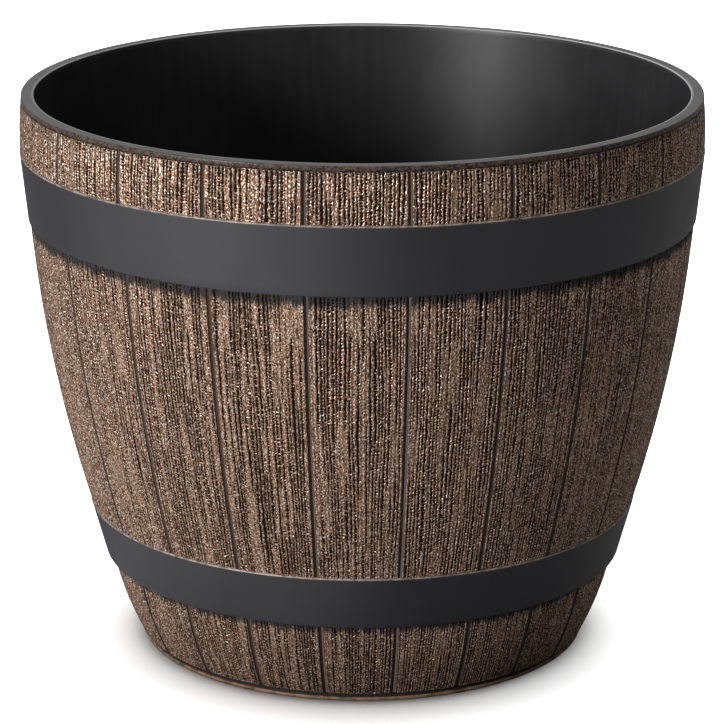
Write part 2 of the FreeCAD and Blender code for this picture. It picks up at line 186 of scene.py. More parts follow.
# Painted highlight along the lip's inner edge
LIP_EDGE_HIGHLIGHT = (0.95, 0.93, 0.92, 1.0)
SIDE_DARK = (0.03, 0.022, 0.018, 1.0)
SIDE_BROWN = (0.15, 0.10, 0.075, 1.0)
FOOT_DARK = (0.016, 0.015, 0.015, 1.0)
FOOT_LIGHT = (0.03, 0.028, 0.027, 1.0)
RUBBER_DARK = (0.010, 0.010, 0.010, 1.0)
RUBBER_LIGHT = (0.026, 0.026, 0.026, 1.0)

# Finishes. A range has two numbers of a noise, or of what a mesh stores, between which one look eases into
# the next. Two more numbers say what it eases from and to, where these aren't 0 and 1.
METAL_SHARE = 0.64
TONE_WEIGHT = 0.25
SPECK_WEIGHT = 0.8
FLANK_WEIGHT = 0.25
FLANK_STARTS = (0.03, 0.25)
FLANK_ENDS = (0.6, 0.4)
BRUSHED = (0.6, 1.3)
PALE_SPECKS_AND_GLINTS = (0.565, 0.605)
PITS = (0.46, 0.34, 0.0, 0.5)
PAINTED = (0.54, 0.42)
SEAM_PATCHES = (0.42, 0.58)
WOOD_ROUGHNESS = (0.2, 0.8, 0.3, 0.75)
HOOP_MOTTLE = (0.38, 0.6, 0.35, 1.0)
HOOP_ROUGHNESS = (0.3, 0.7, 0.38, 0.44)
LINER_STREAKS = (0.45, 0.7, 0.0, 0.35)
LINER_ROUGHNESS = (0.3, 0.7, 0.34, 0.42)
LIP_SPECKS = (0.35, 0.65)
SIDE_MOTTLE = (0.4, 0.6)
FOOT_MOTTLE = (0.3, 0.6, 0.25, 1.0)
FOOT_ROUGHNESS = (0.3, 0.7, 0.45, 0.65)
RUBBER_ROUGHNESS = (0.3, 0.7, 0.6, 0.8)

# Light and camera, in metres and degrees. Ranges here are of directions, as parts of a unit vector.
FLOOR_SIZE = 60.0
FLOOR_WHITE = (0.9, 0.9, 0.9, 1.0)
# In mirrors the floor is painted paler on the key's side, a painted pool of the key's light
FLOOR_GLARE = (0.22, 0.22, 0.22, 1.0)
FLOOR_FAR_SIDE = (0.066, 0.066, 0.066, 1.0)
FLOOR_BOUNCE = (0.04, 0.04, 0.04, 1.0)
FLOOR_LIGHT = 9.5
FLOOR_LIGHT_SPREAD = 62.0
FLOOR_LIGHT_TILT = 6.0
GLARE_AZIMUTH = -50.0
GLARE_RANGE = (0.4, 0.95)
WORLD_WHITE = (1.0, 1.0, 1.0, 1.0)
WORLD_FILL = 0.13
NEAR_WALL = 0.42
FAR_WALL = 0.29
WALL_RANGE = (0.2, 0.9)
CEILING = 0.2
BACK_LIGHT = 0.7
BACK_RANGE = (0.3, 0.9)
CEILING_RANGE = (0.12, 0.3)
KEY_AZIMUTH = -46.0
KEY_ELEVATION = 12.0
KEY_DISTANCE = 4.4
KEY_SIZE = 1.4
KEY_POWER = 145.0
CAMERA_AZIMUTH = 0.81
CAMERA_ELEVATION = 16.72
CAMERA_DISTANCE = 1.9661
CAMERA_LENS = 166.6
CAMERA_SENSOR = 36.0
AIM = Vector((-0.0002, 0.0, 0.1601))


def ease(low, high, value):
    """Goes smoothly from 0 at low to 1 at high."""
    share = np.clip((value - low) / (high - low), 0.0, 1.0)
    return share * share * (3.0 - 2.0 * share)


def arc_radius(heights, low, top, curve):
    """Radii at some heights of the arc, or straight line, that joins two (radius, height) ends."""
    (low_r, low_z), (top_r, top_z) = low, top
    if curve is None:
        return low_r + (top_r - low_r) * (heights - low_z) / (top_z - low_z)
    chord = math.hypot(top_r - low_r, top_z - low_z)
    rise = math.sqrt(curve ** 2 - (chord / 2) ** 2)
    centre_r = (low_r + top_r) / 2 - rise * (top_z - low_z) / chord
    centre_z = (low_z + top_z) / 2 + rise * (top_r - low_r) / chord
    return centre_r + np.sqrt(curve ** 2 - (heights - centre_z) ** 2)


def arc_points(low, top, curve, steps):
    """(radius, height) points from the low end of an arc to its top end."""
    heights = np.linspace(low[1], top[1], steps)
    return np.stack([arc_radius(heights, low, top, curve), heights], axis=-1)


def smooth_noise(random, across, along, cell_across, cell_along):
    """Random values from -1 to 1 on a lattice of cells, eased from each point to the next."""
    x = (across - across.min()) / cell_across
    y = (along - along.min()) / cell_along
    values = random.uniform(-1.0, 1.0, (int(x.max()) + 2, int(y.max()) + 2))
    i = x.astype(int)
    j = y.astype(int)
    s = ease(0.0, 1.0, x - i)
    t = ease(0.0, 1.0, y - j)
    low = values[i, j] * (1 - s) + values[i + 1, j] * s
    high = values[i, j + 1] * (1 - s) + values[i + 1, j + 1] * s
    return low * (1 - t) + high * t


def layered_noise(random, across, along, layers):
    """Sum of layers of smooth_noise, each with its weight and the size of its cells."""
    return sum(weight * smooth_noise(random, across, along, *cells) for weight, *cells in layers)


def line_noise(random, lines, along, cell):
    """Like smooth_noise along each numbered line, with nothing shared between the lines."""
    y = (along - along.min()) / cell
    rows = lines - lines.min()
    values = random.uniform(-1.0, 1.0, (int(rows.max()) + 1, int(y.max()) + 2))
    j = y.astype(int)
    t = ease(0.0, 1.0, y - j)
    return values[rows, j] * (1 - t) + values[rows, j + 1] * t


def new_mesh(name, points, quads, caps=()):
    """A smooth mesh from points in metres, four-cornered faces and flat end caps."""
    mesh = bpy.data.meshes.new(name)
    corners = np.concatenate([quads.ravel(), *caps]).astype(np.int32)
    sizes = np.array([4] * len(quads) + [len(cap) for cap in caps])
    starts = np.concatenate([[0], np.cumsum(sizes)[:-1]]).astype(np.int32)
    mesh.vertices.add(len(points))
    mesh.vertices.foreach_set("co", points.astype(np.float32).ravel())
    mesh.loops.add(len(corners))
    mesh.loops.foreach_set("vertex_index", corners)
    mesh.polygons.add(len(sizes))
    mesh.polygons.foreach_set("loop_start", starts)
    smooth = np.arange(len(sizes)) < len(quads)
    mesh.polygons.foreach_set("use_smooth", smooth)
    mesh.update(calc_edges=True)
    mesh.validate()
    return mesh


def store(mesh, name, values):
    """Keeps one number per point under a name that materials can read."""
    layer = mesh.attributes.new(name, "FLOAT", "POINT")
    layer.data.foreach_set("value", np.asarray(values, dtype=np.float32).ravel())


def grid_corners(rows, columns):
    """Row and column numbers of the four corners of each face of a grid."""
    row, column = np.meshgrid(np.arange(rows - 1), np.arange(columns), indexing="ij")
    corner_rows = np.stack([row, row, row + 1, row + 1], axis=-1)
    corner_columns = np.stack([column, column + 1, column + 1, column], axis=-1)
    return corner_rows.reshape(-1, 4), corner_columns.reshape(-1, 4)


def around(radii, angles, heights):
    """Points in metres at the given radii, angles from the front and heights."""
    across = radii * np.sin(angles)
    forward = -radii * np.cos(angles)
    return np.stack([across, forward, heights + 0.0 * across], axis=-1) * MM


def add_piece(name, mesh, material, body, node):
    """Puts a mesh in the scene in place of a node of the frame."""
    piece = bpy.data.objects.new(name, mesh)
    bpy.context.scene.collection.objects.link(piece)
    mesh.materials.append(material)
    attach(piece, body)
    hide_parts(node)


def new_material(name, **values):
    """A material whose shader has these inputs set, by name with underscores for spaces."""
    material = bpy.data.materials.new(name)
    material.use_nodes = True
    shader = material.node_tree.nodes["Principled BSDF"]
    for key, value in values.items():
        shader.inputs[key.replace("_", " ")].default_value = value
    return material, material.node_tree, shader


def add_node(tree, kind, inputs, **settings):
    """Adds a node, with its settings, and sets or links its inputs by name or number."""
    node = tree.nodes.new(kind)
    for key, value in settings.items():
        setattr(node, key, value)
    for key, value in inputs.items():
        if isinstance(value, bpy.types.NodeSocket):
            tree.links.new(value, node.inputs[key])
        else:
            node.inputs[key].default_value = value
    return node


def stored(tree, name):
    """A number that the mesh keeps under a name."""
    return add_node(tree, "ShaderNodeAttribute", {}, attribute_name=name).outputs["Fac"]


def calculate(tree, operation, first, second):
    """What an operation makes of two values."""
    return add_node(tree, "ShaderNodeMath", {0: first, 1: second}, operation=operation).outputs[0]


def rescale(tree, value, low, high, to_low=0.0, to_high=1.0):
    """Eases a value's range from low to high into another range."""
    inputs = {"Value": value, "From Min": low, "From Max": high, "To Min": to_low, "To Max": to_high}
    return add_node(tree, "ShaderNodeMapRange", inputs, interpolation_type="SMOOTHSTEP").outputs["Result"]


def mix_colour(tree, share, first, second):
    """Goes from the first colour to the second as the share goes from 0 to 1."""
    inputs = {0: share, 6: first, 7: second}
    return add_node(tree, "ShaderNodeMix", inputs, data_type="RGBA").outputs[2]


def mix_value(tree, share, first, second):
    """Goes from the first value to the second as the share goes from 0 to 1."""
    inputs = {0: share, 2: first, 3: second}
    return add_node(tree, "ShaderNodeMix", inputs, data_type="FLOAT").outputs[0]


def noise(tree, size, stretch=1.0, detail=3.0):
    """Noise from 0 to 1 with features of a size in millimetres, drawn out along the height."""
    place = add_node(tree, "ShaderNodeTexCoord", {}).outputs["Object"]
    scaled = add_node(tree, "ShaderNodeMapping", {"Vector": place, "Scale": (1.0, 1.0, 1.0 / stretch)})
    inputs = {"Vector": scaled.outputs[0], "Scale": 1.0 / (size * MM), "Detail": detail}
    return add_node(tree, "ShaderNodeTexNoise", inputs).outputs["Fac"]


def add_bump(tree, shader, height, distance):
    """Relief finer than the mesh, with its height in millimetres."""
    inputs = {"Height": height, "Distance": distance * MM, "Strength": 1.0}
    bump = add_node(tree, "ShaderNodeBump", inputs)
    tree.links.new(bump.outputs["Normal"], shader.inputs["Normal"])


def wood_material():
    """Charcoal plastic with bronze brushed over the ridges of the grain, and pale specks that are partly
    painted glints.
    """
    material, tree, shader = new_material("stave_wood_grain", Specular_IOR_Level=0.12)
    cut = stored(tree, "cut")
    bare_and_shade = stored(tree, "bare_and_shade")
    streaks = noise(tree, size=2.2, stretch=9.0)
    specks = noise(tree, size=0.65, stretch=1.8, detail=2.0)
    patches = noise(tree, size=16.0, stretch=4.0)

    # The brush leaves most on the flanks of the ridges, and on some crests.
    flank = calculate(tree, "MULTIPLY", rescale(tree, cut, *FLANK_STARTS), rescale(tree, cut, *FLANK_ENDS))
    brushed = calculate(tree, "MULTIPLY", stored(tree, "tone"), TONE_WEIGHT)
    brushed = calculate(tree, "ADD", brushed, streaks)
    for value, weight in ((specks, SPECK_WEIGHT), (flank, FLANK_WEIGHT)):
        brushed = calculate(tree, "ADD", brushed, calculate(tree, "MULTIPLY", value, weight))
    bronze = mix_colour(tree, rescale(tree, brushed, *BRUSHED), BRONZE_DARK, BRONZE)
    # Pale specks: partly pale bronze, partly painted glints standing in for sparkle of the light.
    bronze = mix_colour(tree, rescale(tree, specks, *PALE_SPECKS_AND_GLINTS), bronze, BRONZE_PALE)

    # It misses the grooves, small pits and the seams. The dark strips under the hoops are partly missed
    # bronze and partly painted shade under the hoops.
    worn = calculate(tree, "ADD", cut, rescale(tree, specks, *PITS))
    painted = rescale(tree, worn, *PAINTED)
    charcoal = mix_colour(tree, painted, CHARCOAL, CHARCOAL_LIGHT)
    seam = mix_colour(tree, rescale(tree, patches, *SEAM_PATCHES), SEAM_GREY, SEAM_BROWN)
    charcoal = mix_colour(tree, rescale(tree, bare_and_shade, NO_BRONZE, IN_SEAM), charcoal, seam)
    painted = calculate(tree, "MULTIPLY", painted, rescale(tree, bare_and_shade, NO_BRONZE, 0.0))
    tree.links.new(mix_colour(tree, painted, charcoal, bronze), shader.inputs["Base Color"])
    tree.links.new(calculate(tree, "MULTIPLY", painted, METAL_SHARE), shader.inputs["Metallic"])
    tree.links.new(rescale(tree, worn, *WOOD_ROUGHNESS), shader.inputs["Roughness"])
    add_bump(tree, shader, specks, distance=0.22)
    return material


def hoop_material():
    """Smooth satin charcoal, bronze rubbed along the top edge."""
    material, tree, shader = new_material("hoop_satin_charcoal", Specular_IOR_Level=0.95)
    clouds = noise(tree, size=38.0, detail=4.0)
    fine = noise(tree, size=0.8)
    band = mix_colour(tree, clouds, HOOP_DARK, HOOP_LIGHT)
    mottle = rescale(tree, noise(tree, size=5.0), *HOOP_MOTTLE)
    rub = calculate(tree, "MULTIPLY", stored(tree, "rub"), mottle)
    bronze = mix_colour(tree, fine, BRONZE_DARK, BRONZE_PALE)
    tree.links.new(mix_colour(tree, rub, band, bronze), shader.inputs["Base Color"])
    tree.links.new(rescale(tree, clouds, *HOOP_ROUGHNESS), shader.inputs["Roughness"])
    add_bump(tree, shader, fine, distance=0.02)
    return material


def liner_material():
    """Dark moulded plastic, painted lighter grey on top of the lip as if lit from above, with a painted
    highlight along its inner edge, and brown on its outer side.
    """
    material, tree, shader = new_material("liner_satin_black", Specular_IOR_Level=0.45)
    clouds = noise(tree, size=45.0, detail=5.0)
    fine = noise(tree, size=1.0)
    drawn = noise(tree, size=5.0, stretch=14.0)
    inside = mix_colour(tree, clouds, LINER_DARK, LINER_LIGHT)
    inside = mix_colour(tree, rescale(tree, drawn, *LINER_STREAKS), inside, LINER_STREAK)
    # Painted light: the lip's top is painted grey, lighter than the plastic, as if lit from above.
    top = mix_colour(tree, rescale(tree, fine, *LIP_SPECKS), LIT_LIP_DARK, LIT_LIP_LIGHT)
    lip = mix_colour(tree, stored(tree, "lip"), inside, top)
    # Painted highlight: a pale line along the lip's inner edge.
    lip = mix_colour(tree, stored(tree, "edge"), lip, LIP_EDGE_HIGHLIGHT)
    mottle = rescale(tree, noise(tree, size=1.5, detail=2.0), *SIDE_MOTTLE)
    side = mix_colour(tree, mottle, SIDE_DARK, SIDE_BROWN)
    tree.links.new(mix_colour(tree, stored(tree, "rub"), lip, side), shader.inputs["Base Color"])
    tree.links.new(rescale(tree, clouds, *LINER_ROUGHNESS), shader.inputs["Roughness"])
    add_bump(tree, shader, fine, distance=0.03)
    return material


def foot_material():
    """Satin charcoal with bronze rubbed over the flange."""
    material, tree, shader = new_material("foot_rubbed_charcoal", Specular_IOR_Level=0.3)
    grain = noise(tree, size=1.6)
    plain = mix_colour(tree, grain, FOOT_DARK, FOOT_LIGHT)
    bronze = mix_colour(tree, grain, BRONZE_DARK, BRONZE)
    mottle = rescale(tree, noise(tree, size=6.0), *FOOT_MOTTLE)
    rub = calculate(tree, "MULTIPLY", stored(tree, "rub"), mottle)
    tree.links.new(mix_colour(tree, rub, plain, bronze), shader.inputs["Base Color"])
    tree.links.new(rescale(tree, grain, *FOOT_ROUGHNESS), shader.inputs["Roughness"])
    add_bump(tree, shader, grain, distance=0.06)
    return material


def rubber_material():
    """Matt black rubber with a fine tooth."""
    material, tree, shader = new_material("plug_rubber", Specular_IOR_Level=0.3)
    clouds = noise(tree, size=6.0)
    black = mix_colour(tree, clouds, RUBBER_DARK, RUBBER_LIGHT)
    tree.links.new(black, shader.inputs["Base Color"])
    tree.links.new(rescale(tree, clouds, *RUBBER_ROUGHNESS), shader.inputs["Roughness"])
    add_bump(tree, shader, noise(tree, size=0.6), distance=0.05)
    return material


def stave_grain(random, across, along):
    """How deep the grain is cut, from 0 on a ridge to 1 in a groove, at places in millimetres."""
    wander = layered_noise(random, across, along, WANDER_LAYERS)
    place = (across + wander) / GROOVE_PITCH
    lines = np.round(place).astype(int)
    line = np.cos(2 * math.pi * place)

    # Along a line the groove breaks up into beads, fades in places, and roughness eats into its sides.
    starts = random.uniform(0.0, 1.0, np.ptp(lines) + 1)[lines - lines.min()]
    drift = BEAD_DRIFT * line_noise(random, lines, along, BEAD_DRIFT_CELL)
    beads = np.cos(2 * math.pi * (along / BEAD_SPACING + starts + drift))
    beads = beads * ease(*BEAD_FADE, line_noise(random, lines, along, BEAD_FADE_CELL))
    rough = smooth_noise(random, across, along, *ROUGH_CELLS)
    patches = line_noise(random, lines, along, FAINT_CELL)
    mark = line + BEAD_WEIGHT * beads + ROUGH_WEIGHT * rough
    strength = FAINTEST + (1.0 - FAINTEST) * ease(*FAINT_FADE, patches)
    return ease(*GROOVE_SIDES, mark) * strength


def stave_rows():
    """Heights and face radii of a stave's rows from foot to top, and which of them show as wood."""
    heights, radii, shows = [], [], []
    for low, top, curve in (SKIRT, LOWER_SEAT, BELLY, UPPER_SEAT, TOP_BAND):
        is_seat = curve is None
        count = 2 if is_seat else int((top[1] - low[1]) / ROW_STEP) + 2
        margin = SEAT_STEP if is_seat else 0.0
        zone_heights = np.linspace(low[1] + margin, top[1] - margin, count)
        heights.append(zone_heights)
        radii.append(arc_radius(zone_heights, low, top, curve))
        shows.append(np.full(count, not is_seat))
    return np.concatenate(heights)[:, None], np.concatenate(radii)[:, None], np.concatenate(shows)[:, None]


def end_distance(heights):
    """Distance along the barrel from each height to the nearer end of its stretch of wood."""
    ends = [face[side][1] for face in (SKIRT, BELLY, TOP_BAND) for side in (0, 1)]
    return np.min([np.abs(heights - end) for end in ends], axis=0)


def store_stave_map(mesh, loop_points, heights, cap_size):
    """Lays a stave out flat for baking: its sides in one sheet, its back narrow, its two ends above."""
    steps = np.linalg.norm(np.diff(loop_points, axis=0, append=loop_points[:1]), axis=1)
    steps[-BACK_COLUMNS - 1:] *= MAP_BACK_SHARE
    columns_at = np.concatenate([[0.0], np.cumsum(steps)]) / steps.sum()
    rows_at = MAP_SIDES_TOP * (heights - heights.min()) / np.ptp(heights)
    corner_rows, corner_columns = grid_corners(len(heights), cap_size)
    sides = np.stack([columns_at[corner_columns], rows_at[corner_rows]], axis=-1).reshape(-1, 2)
    flat = (loop_points[:, :2] - loop_points[:, :2].min(axis=0)) / np.ptp(loop_points[:, :2], axis=0)
    cap = flat * MAP_END_SIZE + MAP_END_AT
    layer = mesh.uv_layers.new(name="OFBake")
    everything = np.concatenate([sides, cap[::-1], cap + MAP_END_STEP])
    layer.data.foreach_set("uv", everything.astype(np.float32).ravel())


def stave_finish(random, across, along, edge):
    """Where a stave's face has no bronze, from 0 to NO_BRONZE, and how strong the bronze is. Below each hoop
    the strip without bronze is partly painted shade.
    """
    ragged = RAGGED * smooth_noise(random, across, along, *RAGGED_CELLS)
    bare_and_shade = THINNEST * ease(THIN_STRIP, 0.0, STAVE_TOP_Z - along + ragged)
    # Painted shade, in part: a dark strip without bronze below each hoop.
    for (low, _, _), strip in ((UPPER_SEAT, BARE_SHADED_STRIP), (LOWER_SEAT, SKIRT_BARE_SHADED_STRIP)):
        below_hoop = low[1] - along
        bare_shade_under_hoop = ease(strip, STRIP_FULL * strip, below_hoop + ragged) * (below_hoop > -SEAT_STEP)
        bare_and_shade = np.maximum(bare_and_shade, bare_shade_under_hoop)
    bare_edge = np.where(along < LOWER_SEAT[0][1], SKIRT_EDGE, BARE_EDGE)
    bare_and_shade = np.maximum(bare_and_shade, ease(bare_edge, 0.0, edge))
    tone = random.uniform(-TONE_SPREAD, TONE_SPREAD)
    tone = tone + TONE_DRIFT * smooth_noise(random, across, along, *TONE_CELLS)
    return bare_and_shade, tone


def make_stave(number, material):
    """One stave: a grained face with rounded edges, rebated sides and a plain back."""
    random = np.random.RandomState(FIRST_SEED + number)
    heights, radii, shows = stave_rows()
    half = math.pi / STAVE_COUNT

    # The face, with its grain
    quarter = np.linspace(0.0, math.pi / 2, EDGE_COLUMNS)
    inward = EDGE_ROUND * (1.0 - np.cos(quarter)) / (GRAIN_WIDTH / 2)
    flat = np.linspace(inward[-1] - 1.0, 1.0 - inward[-1], FACE_COLUMNS)
    spread = np.concatenate([inward[:-1] - 1.0, flat, 1.0 - inward[-2::-1]])[None, :]
    face_half = half - np.arcsin(SEAM_WIDTH / 2 / radii)
    edge = (1.0 - np.abs(spread)) * face_half * radii
    across = spread * GRAIN_WIDTH / 2 + 0.0 * heights
    along = heights + 0.0 * across
    fade = ease(*EDGE_BAND, edge) * ease(0.0, END_BAND, end_distance(along)) * shows
    cut = stave_grain(random, across, along) * fade
    lumps = LUMP_HEIGHT * (1.0 + layered_noise(random, across, along, LUMP_LAYERS)) * fade
    past_edge = np.clip(1.0 - edge / EDGE_ROUND, 0.0, 1.0)
    rounding = EDGE_ROUND * (1.0 - np.sqrt(1.0 - past_edge ** 2)) * shows
    face_radii = radii - GROOVE_DEPTH * cut - rounding - lumps

    # The rebated sides and the back
    floor_radii = radii - np.where(shows, SEAM_DEPTH, SEAT_STEP)
    corner = half - np.arcsin(SEAM_WIDTH / 2 / floor_radii)
    side = half - np.arcsin(STAVE_GAP / 2 / floor_radii)
    back_radii = arc_radius(heights, *STAVE_BACK)
    back_half = half - np.arcsin(STAVE_GAP / 2 / back_radii)
    back_angles = np.linspace(1.0, -1.0, BACK_COLUMNS)[None, :] * back_half
    angles = np.hstack([-side, -corner, spread * face_half, corner, side, back_angles]) + 2 * half * number
    back_radii = back_radii + 0.0 * back_angles
    loop_radii = np.hstack([floor_radii, floor_radii, face_radii, floor_radii, floor_radii, back_radii])

    node = f"stave_{number + 1:02d}"
    rows, columns = loop_radii.shape
    points = around(loop_radii, angles, heights)
    corner_rows, corner_columns = grid_corners(rows, columns)
    quads = corner_rows * columns + corner_columns % columns
    foot_cap = np.arange(columns)[::-1]
    top_cap = np.arange(columns) + (rows - 1) * columns
    mesh = new_mesh(f"{node}_mesh", points.reshape(-1, 3), quads, (foot_cap, top_cap))
    store_stave_map(mesh, points[rows // 2], heights[:, 0], columns)

    # What the finish reads: how deep the grain is, where bronze is missing and how strong it is
    bare_and_shade, tone = stave_finish(random, across, along, edge)
    finish = (("cut", cut, 0.0, 0.0), ("bare_and_shade", bare_and_shade, IN_SEAM, NO_BRONZE), ("tone", tone, 0.0, 0.0))
    for name, values, in_seam, behind in finish:
        values = np.pad(values, ((0, 0), (SEAM_COLUMNS, SEAM_COLUMNS)), constant_values=in_seam)
        store(mesh, name, np.pad(values, ((0, 0), (0, BACK_COLUMNS)), constant_values=behind))
    add_piece(f"{node}_wood", mesh, material, "barrel", node)


def rounded_corner(before, corner, after, radius):
    """Points of the arc that rounds one corner of an outline."""
    corner = np.array(corner)
    to_before = np.array(before) - corner
    to_after = np.array(after) - corner
    to_before = to_before / np.linalg.norm(to_before)
    to_after = to_after / np.linalg.norm(to_after)
    opening = math.acos(np.clip(to_before @ to_after, -1.0, 1.0))
    reach = radius / math.tan(opening / 2)
    middle = to_before + to_after
    centre = corner + middle / np.linalg.norm(middle) * radius / math.sin(opening / 2)
    start = corner + to_before * reach - centre
    end = corner + to_after * reach - centre
    turn = math.pi - opening
    shares = np.linspace(0.0, 1.0, CORNER_STEPS)[:, None]
    return centre + (start * np.sin((1 - shares) * turn) + end * np.sin(shares * turn)) / math.sin(turn)


def rounded_outline(corners):
    """An outline through (radius, height, rounding) corners, each rounded unless its rounding is 0."""
    points = []
    for number, (radius, height, rounding) in enumerate(corners):
        if rounding == 0:
            points.append(np.array([[radius, height]]))
            continue
        before = corners[number - 1][:2]
        after = corners[(number + 1) % len(corners)][:2]
        points.append(rounded_corner(before, (radius, height), after, rounding))
    return np.vstack(points)


def turned_mesh(name, outline, closed=True, waves=0.0):
    """A ring made by turning an outline, drawn anticlockwise, about the axis, a little out of true."""
    turns = np.linspace(0.0, 2 * math.pi, RING_SEGMENTS, endpoint=False)[:, None]
    heights = outline[None, :, 1]
    uneven = sum(np.sin(count * turns + start + lean * heights) for count, start, lean in RING_WAVES)
    radii = outline[None, :, 0] - waves * (1.0 + uneven / len(RING_WAVES))
    columns = len(outline)
    points = around(radii, turns, heights)
    corner_rows, corner_columns = grid_corners(RING_SEGMENTS + 1, columns if closed else columns - 1)
    quads = corner_rows % RING_SEGMENTS * columns + corner_columns % columns
    return new_mesh(name, points.reshape(-1, 3), quads)


def make_hoop(name, ends, material):
    """A flat band with rounded outer edges."""
    (low_r, low_z), (top_r, top_z) = ends
    shares = np.linspace(0.0, 1.0, HOOP_STEPS)[1:-1]
    shares = np.append(shares, 1.0 - RUB_WIDTH / (top_z - low_z))
    face = [(low_r + (top_r - low_r) * share, low_z + (top_z - low_z) * share, 0) for share in shares]
    outline = rounded_outline([
        (low_r - HOOP_WALL, low_z, 0),
        (low_r, low_z, HOOP_EDGE),
        *face,
        (top_r, top_z, HOOP_EDGE),
        (top_r - HOOP_WALL, top_z, 0),
    ])
    mesh = turned_mesh(f"{name}_mesh", outline, waves=HOOP_WAVES)
    rub = ease(RUB_WIDTH, RUB_FULL, top_z - outline[:, 1])
    store(mesh, "rub", np.tile(rub, RING_SEGMENTS))
    add_piece(f"{name}_band", mesh, material, "barrel", name)


def make_foot_ring(material):
    """Flange, recessed neck, the rim behind the stave ends and the shelf under the liner."""
    outline = rounded_outline([
        (SHELF_BORE, SHELF_UNDER_Z, 0),
        (FOOT_INSIDE, SHELF_UNDER_Z, 0),
        (FOOT_INSIDE, 0.0, 0),
        (FLANGE, 0.0, FLANGE_EDGE),
        (FLANGE, FLANGE_TOP_Z, FLANGE_EDGE),
        (NECK, FLANGE_TOP_Z, 0),
        (NECK, STAVE_FOOT_Z, 0),
        (RIM_OUTSIDE, STAVE_FOOT_Z, 0),
        (RIM_OUTSIDE, RIM_TOP_Z, 0),
        (RIM_INSIDE, RIM_TOP_Z, 0),
        (RIM_INSIDE, FLOOR_UNDER_Z, 0),
        (SHELF_BORE, FLOOR_UNDER_Z, 0),
    ])
    mesh = turned_mesh("foot_ring_mesh", outline)
    rub = ease(NECK, FLANGE - FLANGE_RUB_IN, outline[:, 0]) * ease(0.0, FLANGE_RUB_UP, outline[:, 1])
    store(mesh, "rub", np.tile(rub, RING_SEGMENTS))
    add_piece("foot_ring_rubbed", mesh, material, "barrel", "foot_ring")


def make_liner(material):
    """The pot: a bowed wall with a lip over the staves, and a floor with drain holes."""
    corner_low = (FLOOR_EDGE, FLOOR_UNDER_Z)
    inside_low = (FLOOR_EDGE, FLOOR_TOP_Z)

    # The lip. Its last corner only steers the rounding of the one before.
    lip = rounded_outline([
        (LINER_OUTSIDE[1][0], LIP_UNDER_Z, 0),
        (LIP_OUTSIDE, LIP_UNDER_Z, 0),
        (LIP_OUTSIDE, LIP_TOP_Z, LIP_EDGE),
        (MOUTH + HIGHLIGHT_LINE_WIDTH, LIP_TOP_Z, 0),
        (MOUTH, LIP_TOP_Z, LIP_EDGE),
        (MOUTH, LIP_UNDER_Z, 0),
    ])[:-1]
    inside_top = (arc_radius(LIP_UNDER_Z, *LINER_INSIDE), LIP_UNDER_Z)
    outline = np.vstack([
        arc_points(corner_low, LINER_OUTSIDE[0], CORNER_CURVE, CORNER_STEPS * 2)[:-1],
        arc_points(*LINER_OUTSIDE, WALL_STEPS)[:-1],
        lip,
        arc_points(LINER_INSIDE[0], inside_top, LINER_INSIDE[2], WALL_STEPS)[::-1],
        arc_points(inside_low, LINER_INSIDE[0], CORNER_CURVE, CORNER_STEPS * 2)[-2::-1],
    ])
    mesh = turned_mesh("liner_pot_mesh", outline, closed=False)
    fill_floor(mesh)

    # Where the lip's top is painted lighter grey as if lit from above, where its inner edge carries a painted
    # highlight line, and where it is brown on its outer side
    points = np.empty(len(mesh.vertices) * 3, dtype=np.float32)
    mesh.vertices.foreach_get("co", points)
    points = points.reshape(-1, 3) / MM
    radii = np.hypot(points[:, 0], points[:, 1])
    below_top = LIP_TOP_Z - points[:, 2]
    store(mesh, "lip", ease(*LIP_TOP_LIT, below_top))
    on_highlight_line = ease(MOUTH + HIGHLIGHT_LINE_WIDTH, MOUTH + LIP_EDGE, radii)
    store(mesh, "edge", on_highlight_line * ease(*EDGE_HIGHLIGHT_FADE, below_top))
    store(mesh, "rub", ease(*SIDE_RUB, LIP_OUTSIDE - radii))
    add_piece("liner_pot_moulded", mesh, material, "liner", "liner_pot")


def fill_floor(mesh):
    """Closes the liner's floor, top and underside, round its drain holes."""
    shape = bmesh.new()
    shape.from_mesh(mesh)
    rims = {FLOOR_UNDER_Z: [], FLOOR_TOP_Z: []}
    for edge in shape.edges:
        if edge.is_boundary:
            height = round(edge.verts[0].co.z / MM, 3)
            rims[height].append(edge)
    for number in range(DRAIN_COUNT):
        middle = 2 * math.pi * number / DRAIN_COUNT
        for edges in bore_hole(shape, DRAIN_CIRCLE * math.cos(middle), DRAIN_CIRCLE * math.sin(middle)):
            rims[round(edges[0].verts[0].co.z / MM, 3)].extend(edges)
    for height, edges in rims.items():
        up = 1.0 if height == FLOOR_TOP_Z else -1.0
        bmesh.ops.triangle_fill(shape, use_beauty=True, edges=edges, normal=(0.0, 0.0, up))
    shape.to_mesh(mesh)
    shape.free()


def bore_hole(shape, x, y):
    """Adds the wall of one drain hole, and gives its edges at the floor's underside and top."""
    rings = []
    for height in (FLOOR_UNDER_Z, FLOOR_TOP_Z):
        ring = []
        for step in range(DRAIN_SEGMENTS):
            turn = 2 * math.pi * step / DRAIN_SEGMENTS
            place = Vector((x + DRAIN_HOLE * math.cos(turn), y + DRAIN_HOLE * math.sin(turn), height))
            ring.append(shape.verts.new(place * MM))
        rings.append(ring)
    under, top = rings
    edges = ([], [])
    for step in range(DRAIN_SEGMENTS):
        beside = (step + 1) % DRAIN_SEGMENTS
        wall = shape.faces.new((under[beside], under[step], top[step], top[beside]))
        wall.smooth = True
        for ring, found in zip(rings, edges):
            found.append(shape.edges.get((ring[step], ring[beside])))
    return edges


def direction(azimuth, elevation):
    """Unit vector from the object towards a place seen at these angles, in degrees."""
    a = math.radians(azimuth)
    e = math.radians(elevation)
    return Vector((math.sin(a) * math.cos(e), -math.cos(a) * math.cos(e), math.sin(e)))


